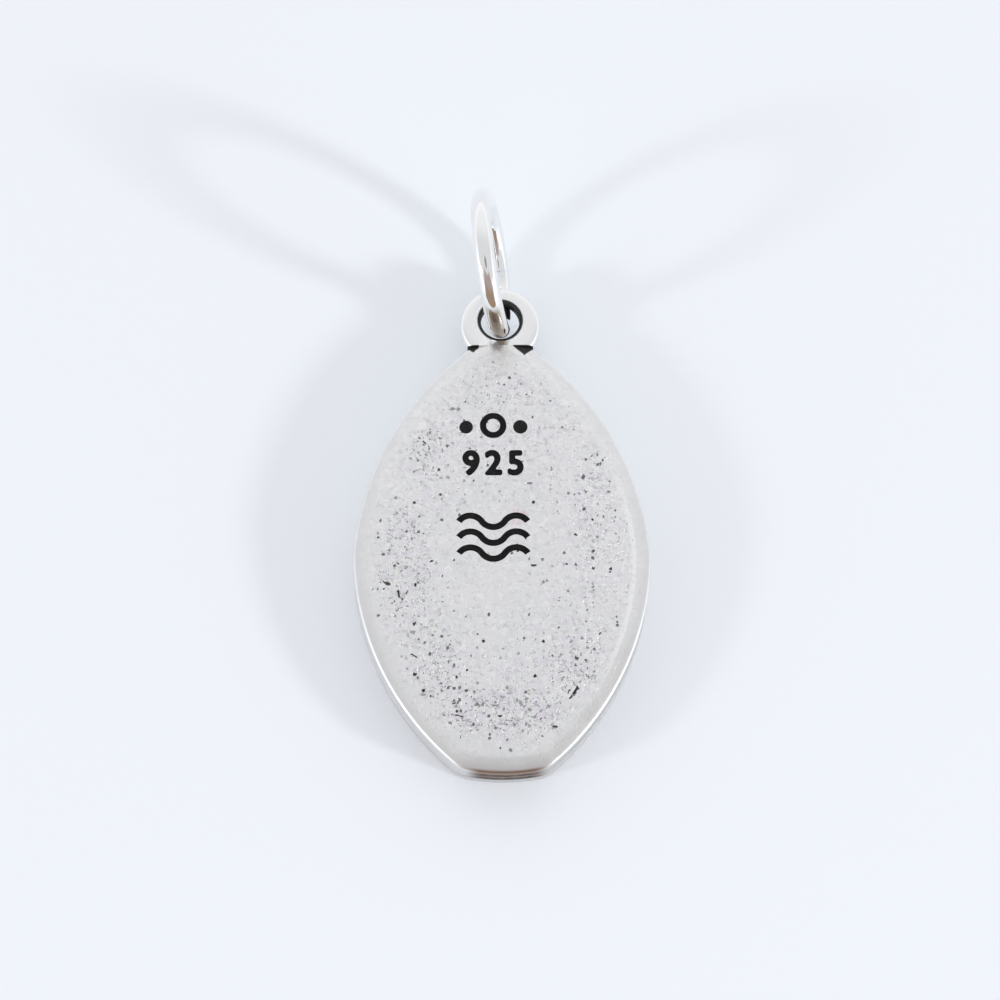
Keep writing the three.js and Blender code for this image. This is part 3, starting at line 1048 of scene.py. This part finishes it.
def makeFish():
    band = fishShape["band"]
    halfSpan = halfWidth - rimShape["width"] - fishShape["sideGap"]
    noseY = neckY - rimShape["width"] - fishShape["noseGap"]
    crossY = footY + rimShape["width"] + fishShape["crossGap"]
    centreY = (noseY + crossY) / 2
    halfLength = (noseY - crossY) / 2
    radius = (halfSpan**2 + halfLength**2) / (2 * halfSpan)
    offset = radius - halfSpan
    start = math.acos((offset - band) / (radius + band))
    end = -math.asin(halfLength / radius) - fishShape["tail"] / radius
    centre = Vector((-offset, centreY, 0))
    first = centre + Vector((math.cos(start), math.sin(start), 0)) * radius
    crownZ = fishShape["recess"] + fishShape["crown"]
    startPiece()
    bpy.ops.mesh.primitive_circle_add(vertices=28, radius=band / 2, fill_type="NGON")
    bpy.context.object.scale = (1, fishShape["crown"] * 2 / band, 1)
    bpy.context.object.rotation_euler = (math.pi / 2, 0, start)
    bpy.context.object.location = (first.x, first.y, crownZ)
    piece = settle("fish_silver")
    edit()
    pick("verts", lambda place, vert: place.z > crownZ + 0.001)
    base = (0, 0, seamZ + fishShape["sunk"])
    bpy.ops.transform.resize(value=(1, 1, 0), center_override=base)
    bpy.ops.mesh.select_all(action="SELECT")
    bpy.ops.mesh.spin(steps=fishShape["steps"], angle=start - end, center=centre, axis=zAxis)
    closeUp()
    edit("FACE")
    pick("faces", lambda place, face: place.y > centreY)
    cutAt((-fishShape["overlap"], 0, 0), (1, 0, 0), clear_inner=True)
    closeUp()
    modify("MIRROR", use_mirror_merge=False)
    modify("REMESH", mode="VOXEL", voxel_size=fishShape["voxel"])
    modify("SMOOTH", factor=0.5, iterations=4)
    return piece


fish = makeFish()
finishPiece(fish, 50, "medal", "fish", fishSilver)


# Hanging loop: a rounded washer with its hole off its middle, thinned towards the crown
def makeLoop():
    startPiece()
    depth = loopPlace["footDepth"]
    radius = loopPlace["radius"]
    low = loopPlace["z"] - depth / 2
    steps = loopPlace["steps"]
    bpy.ops.mesh.primitive_circle_add(vertices=steps, radius=radius, location=(0, loopPlace["y"], low))
    piece = settle("hanging_loop_silver")
    bpy.ops.object.mode_set(mode="EDIT")
    hole = {"radius": loopPlace["holeRadius"], "location": (0, loopPlace["holeY"], low)}
    bpy.ops.mesh.primitive_circle_add(vertices=steps, **hole)
    bpy.ops.mesh.select_all(action="SELECT")
    bpy.ops.mesh.bridge_edge_loops()
    bpy.ops.mesh.select_all(action="SELECT")
    bpy.ops.mesh.extrude_region_move(TRANSFORM_OT_translate={"value": (0, 0, depth)})
    closeUp()
    edit()
    thinning = math.atan((depth - loopPlace["crownDepth"]) / 2 / (2 * radius))
    for side in (1, -1):
        pick("verts", lambda place, vert: (place.z - loopPlace["z"]) * side > 0)
        pin = (0, loopPlace["y"] - radius, loopPlace["z"] + side * depth / 2)
        bpy.ops.transform.rotate(value=side * thinning, orient_axis="X", center_override=pin)
        bpy.ops.mesh.select_all(action="DESELECT")
    bpy.ops.mesh.select_mode(type="EDGE")
    return piece


def roundLoop(piece):
    slack = loopPlace["slack"]

    def along(edge):
        a, b = edge.verts
        return abs((a.co - b.co).z) < slack

    def outside(place, edge):
        gap = (place.xy - Vector((0, loopPlace["y"]))).length
        return along(edge) and gap > loopPlace["radius"] - slack

    def inHole(place, edge):
        gap = (place.xy - Vector((0, loopPlace["holeY"]))).length
        return along(edge) and gap < loopPlace["holeRadius"] + slack

    for test, width in ((outside, loopPlace["roundOutside"]), (inHole, loopPlace["roundHole"])):
        bpy.ops.mesh.select_all(action="DESELECT")
        pick("edges", test)
        bpy.ops.mesh.bevel(offset=width, segments=loopPlace["roundSteps"], profile=0.5, affect="EDGES")
    bpy.ops.mesh.select_all(action="SELECT")
    cutAt((0, neckY, 0), (0, 1, 0), clear_inner=True)
    closeUp()
    return piece


hangingLoop = roundLoop(makeLoop())
finishPiece(hangingLoop, 40, "medal", "hanging_loop", loopSilver)


# Jump ring: round wire bent round its own axis, with a butt joint
wire = {
    "ringRadius": 2.6,
    "radius": 0.4,
    "gap": 0.07,
    "gapAngle": -80,  # degrees round the ring, from its +Y side upwards
    "sides": 36,
    "steps": 200,
    "lean": 8.4,  # degrees from upright, and about Z
    "turn": 5.2,
}


def makeJumpRing():
    lean = math.radians(wire["lean"])
    turn = math.radians(wire["turn"])
    normal = Vector((math.cos(lean) * math.cos(turn), math.cos(lean) * math.sin(turn), math.sin(lean)))
    along = Vector((-math.sin(turn), math.cos(turn), 0))
    up = normal.cross(along)
    centre = (ringLow + ringHigh) / 2
    half = wire["gap"] / 2 / wire["ringRadius"]
    angle = math.radians(wire["gapAngle"]) + half
    out = along * math.cos(angle) + up * math.sin(angle)
    startPiece()
    bpy.ops.mesh.primitive_circle_add(vertices=wire["sides"], radius=wire["radius"], fill_type="NGON")
    turned = Matrix((out, normal, out.cross(normal))).transposed().to_4x4()
    bpy.context.object.matrix_world = Matrix.Translation(centre + out * wire["ringRadius"]) @ turned
    piece = settle("jump_ring_silver")
    edit()
    bpy.ops.mesh.select_all(action="SELECT")
    sweep = 2 * math.pi - 2 * half
    bpy.ops.mesh.spin(steps=wire["steps"], angle=-sweep, center=centre, axis=normal)
    closeUp()
    return piece


jumpRing = makeJumpRing()
finishPiece(jumpRing, 40, "ring", "jump_ring", ringSilver)


# Table, light and camera
camera = {
    "target": (-0.04, 2.88),  # from the middle of the widest row
    "tilt": 17,  # degrees from upright, to the foot's side
    "side": 1,
    "roll": -0.5,
    "distance": 200,
    "sensor": 36,
    "pixelsPerMillimetre": 25.2,
    "pixels": 1000,
}
studio = {
    "tableColour": (0.9, 0.94, 0.99, 1),
    "tableRoughness": 0.7,
    "tableSheen": 0.2,
    "tableGlow": 0.07,
    "tableSize": 3,  # in metres
    "background": (0.87, 0.9, 0.95, 1),
    "overhead": (0.735, 0.74, 0.76, 1),
    "overheadFar": (0.9, 0.905, 0.915, 1),
    "overheadFade": (0.2, 0.75),  # fades run over shares of the direction's length
    "horizonNear": (1.38, 1.41, 1.46, 1),  # on the foot's side
    "horizonFar": (0.97, 0.985, 1.01, 1),
    "horizonFade": (-0.35, 0.35),
    "horizonTop": (26, 10),  # degrees up, from none to full
    "makerLow": (0.34, 0.25, 0.18, 1),
    "makerHigh": (0.42, 0.34, 0.33, 1),
    "makerFade": (0.35, 0.6),
    "makerHalf": (50, 34),  # degrees to each side of the foot
    "makerTop": (60, 50),
    "lens": (0.28, 0.28, 0.29, 1),
    "lensHalf": (12, 7),
    "lampDistance": 500,
    "lampHeight": 20,  # degrees above the table
    "lampSize": 66,
    "lampPowers": (0.8, 0.45),
    "lampTurns": (-65, 68),  # degrees from the foot's side, to the right and to the left
}


def makeTable():
    startPiece()
    bpy.ops.mesh.primitive_plane_add(size=studio["tableSize"])
    table = bpy.context.object
    table.name = "table"
    material, tree, shader = newMaterial("paleTable")
    shader["Base Color"].default_value = studio["tableColour"]
    shader["Roughness"].default_value = studio["tableRoughness"]
    shader["Specular IOR Level"].default_value = studio["tableSheen"]
    shader["Emission Color"].default_value = studio["tableColour"]
    rays = node(tree, "ShaderNodeLightPath").outputs
    seen = strongest(tree, rays["Is Camera Ray"], rays["Is Glossy Ray"])
    tree.links.new(product(tree, seen, studio["tableGlow"]), shader["Emission Strength"])
    table.data.materials.append(material)


def sine(degrees):
    return math.sin(math.radians(degrees))


def cosine(degrees):
    return math.cos(math.radians(degrees))


# A pale room, bright near the table, with the photographer on the foot's side and the lens above
def makeWorld():
    world = bpy.data.worlds.new("studio")
    bpy.context.scene.world = world
    world.use_nodes = True
    tree = world.node_tree
    direction = node(tree, "ShaderNodeTexCoord").outputs["Generated"]
    x, y, height = splitXyz(tree, direction)
    facing = maths(tree, "DIVIDE", product(tree, y, -1), length(tree, x, y, 0))
    towardsFoot = ramp(tree, facing, *studio["horizonFade"])
    horizon = blendColour(tree, towardsFoot, studio["horizonFar"], studio["horizonNear"])
    towardsLoop = ramp(tree, y, *studio["overheadFade"])
    overhead = blendColour(tree, towardsLoop, studio["overhead"], studio["overheadFar"])
    low = ramp(tree, height, *map(sine, studio["horizonTop"]))
    sky = blendColour(tree, low, overhead, horizon)
    makerSides = ramp(tree, facing, *map(cosine, studio["makerHalf"]))
    makerTop = ramp(tree, height, *map(sine, studio["makerTop"]))
    clothes = ramp(tree, height, *studio["makerFade"])
    clothes = blendColour(tree, clothes, studio["makerLow"], studio["makerHigh"])
    sky = blendColour(tree, product(tree, makerSides, makerTop), sky, clothes)
    lensPlace = (0, -sine(camera["tilt"]), cosine(camera["tilt"]))
    toLens = vectors(tree, "DOT_PRODUCT", direction, lensPlace)[1]
    sky = blendColour(tree, ramp(tree, toLens, *map(cosine, studio["lensHalf"])), sky, studio["lens"])
    seen = node(tree, "ShaderNodeLightPath").outputs["Is Camera Ray"]
    colour = blendColour(tree, seen, sky, studio["background"])
    tree.links.new(colour, tree.nodes["Background"].inputs["Color"])


def makeLamps():
    rise = studio["lampHeight"]
    for k, turn in enumerate(studio["lampTurns"]):
        out = Vector((-sine(turn) * cosine(rise), -cosine(turn) * cosine(rise), sine(rise)))
        bpy.ops.object.light_add(type="AREA", location=out * studio["lampDistance"] * mm)
        lamp = bpy.context.object
        lamp.name = f"softbox_{k}"
        lamp.data.energy = studio["lampPowers"][k]
        lamp.data.shape = "DISK"
        lamp.data.size = studio["lampSize"] * mm
        lamp.rotation_euler = out.to_track_quat("Z", "Y").to_euler()


def makeCamera():
    tilt, side, roll = camera["tilt"], camera["side"], camera["roll"]
    aside, ahead = camera["target"]
    target = Vector((aside, rowY + ahead, 0))
    back = Vector((-sine(side) * cosine(tilt), -sine(tilt), cosine(tilt))).normalized()
    right = Vector((0, 1, 0)).cross(back).normalized()
    up = back.cross(right)
    right, up = right * cosine(roll) + up * sine(roll), up * cosine(roll) - right * sine(roll)
    bpy.ops.object.camera_add()
    made = bpy.context.object
    turned = Matrix((right, up, back)).transposed().to_4x4()
    made.matrix_world = Matrix.Translation((target + back * camera["distance"]) * mm) @ turned
    made.data.sensor_width = camera["sensor"]
    zoom = camera["distance"] * camera["pixelsPerMillimetre"] / camera["pixels"]
    made.data.lens = camera["sensor"] * zoom
    made.data.clip_start = 0.01
    made.data.clip_end = 10
    bpy.context.scene.camera = made


makeTable()
makeWorld()
makeLamps()
makeCamera()
bpy.context.scene.view_settings.view_transform = "Standard"
print("studio ready")
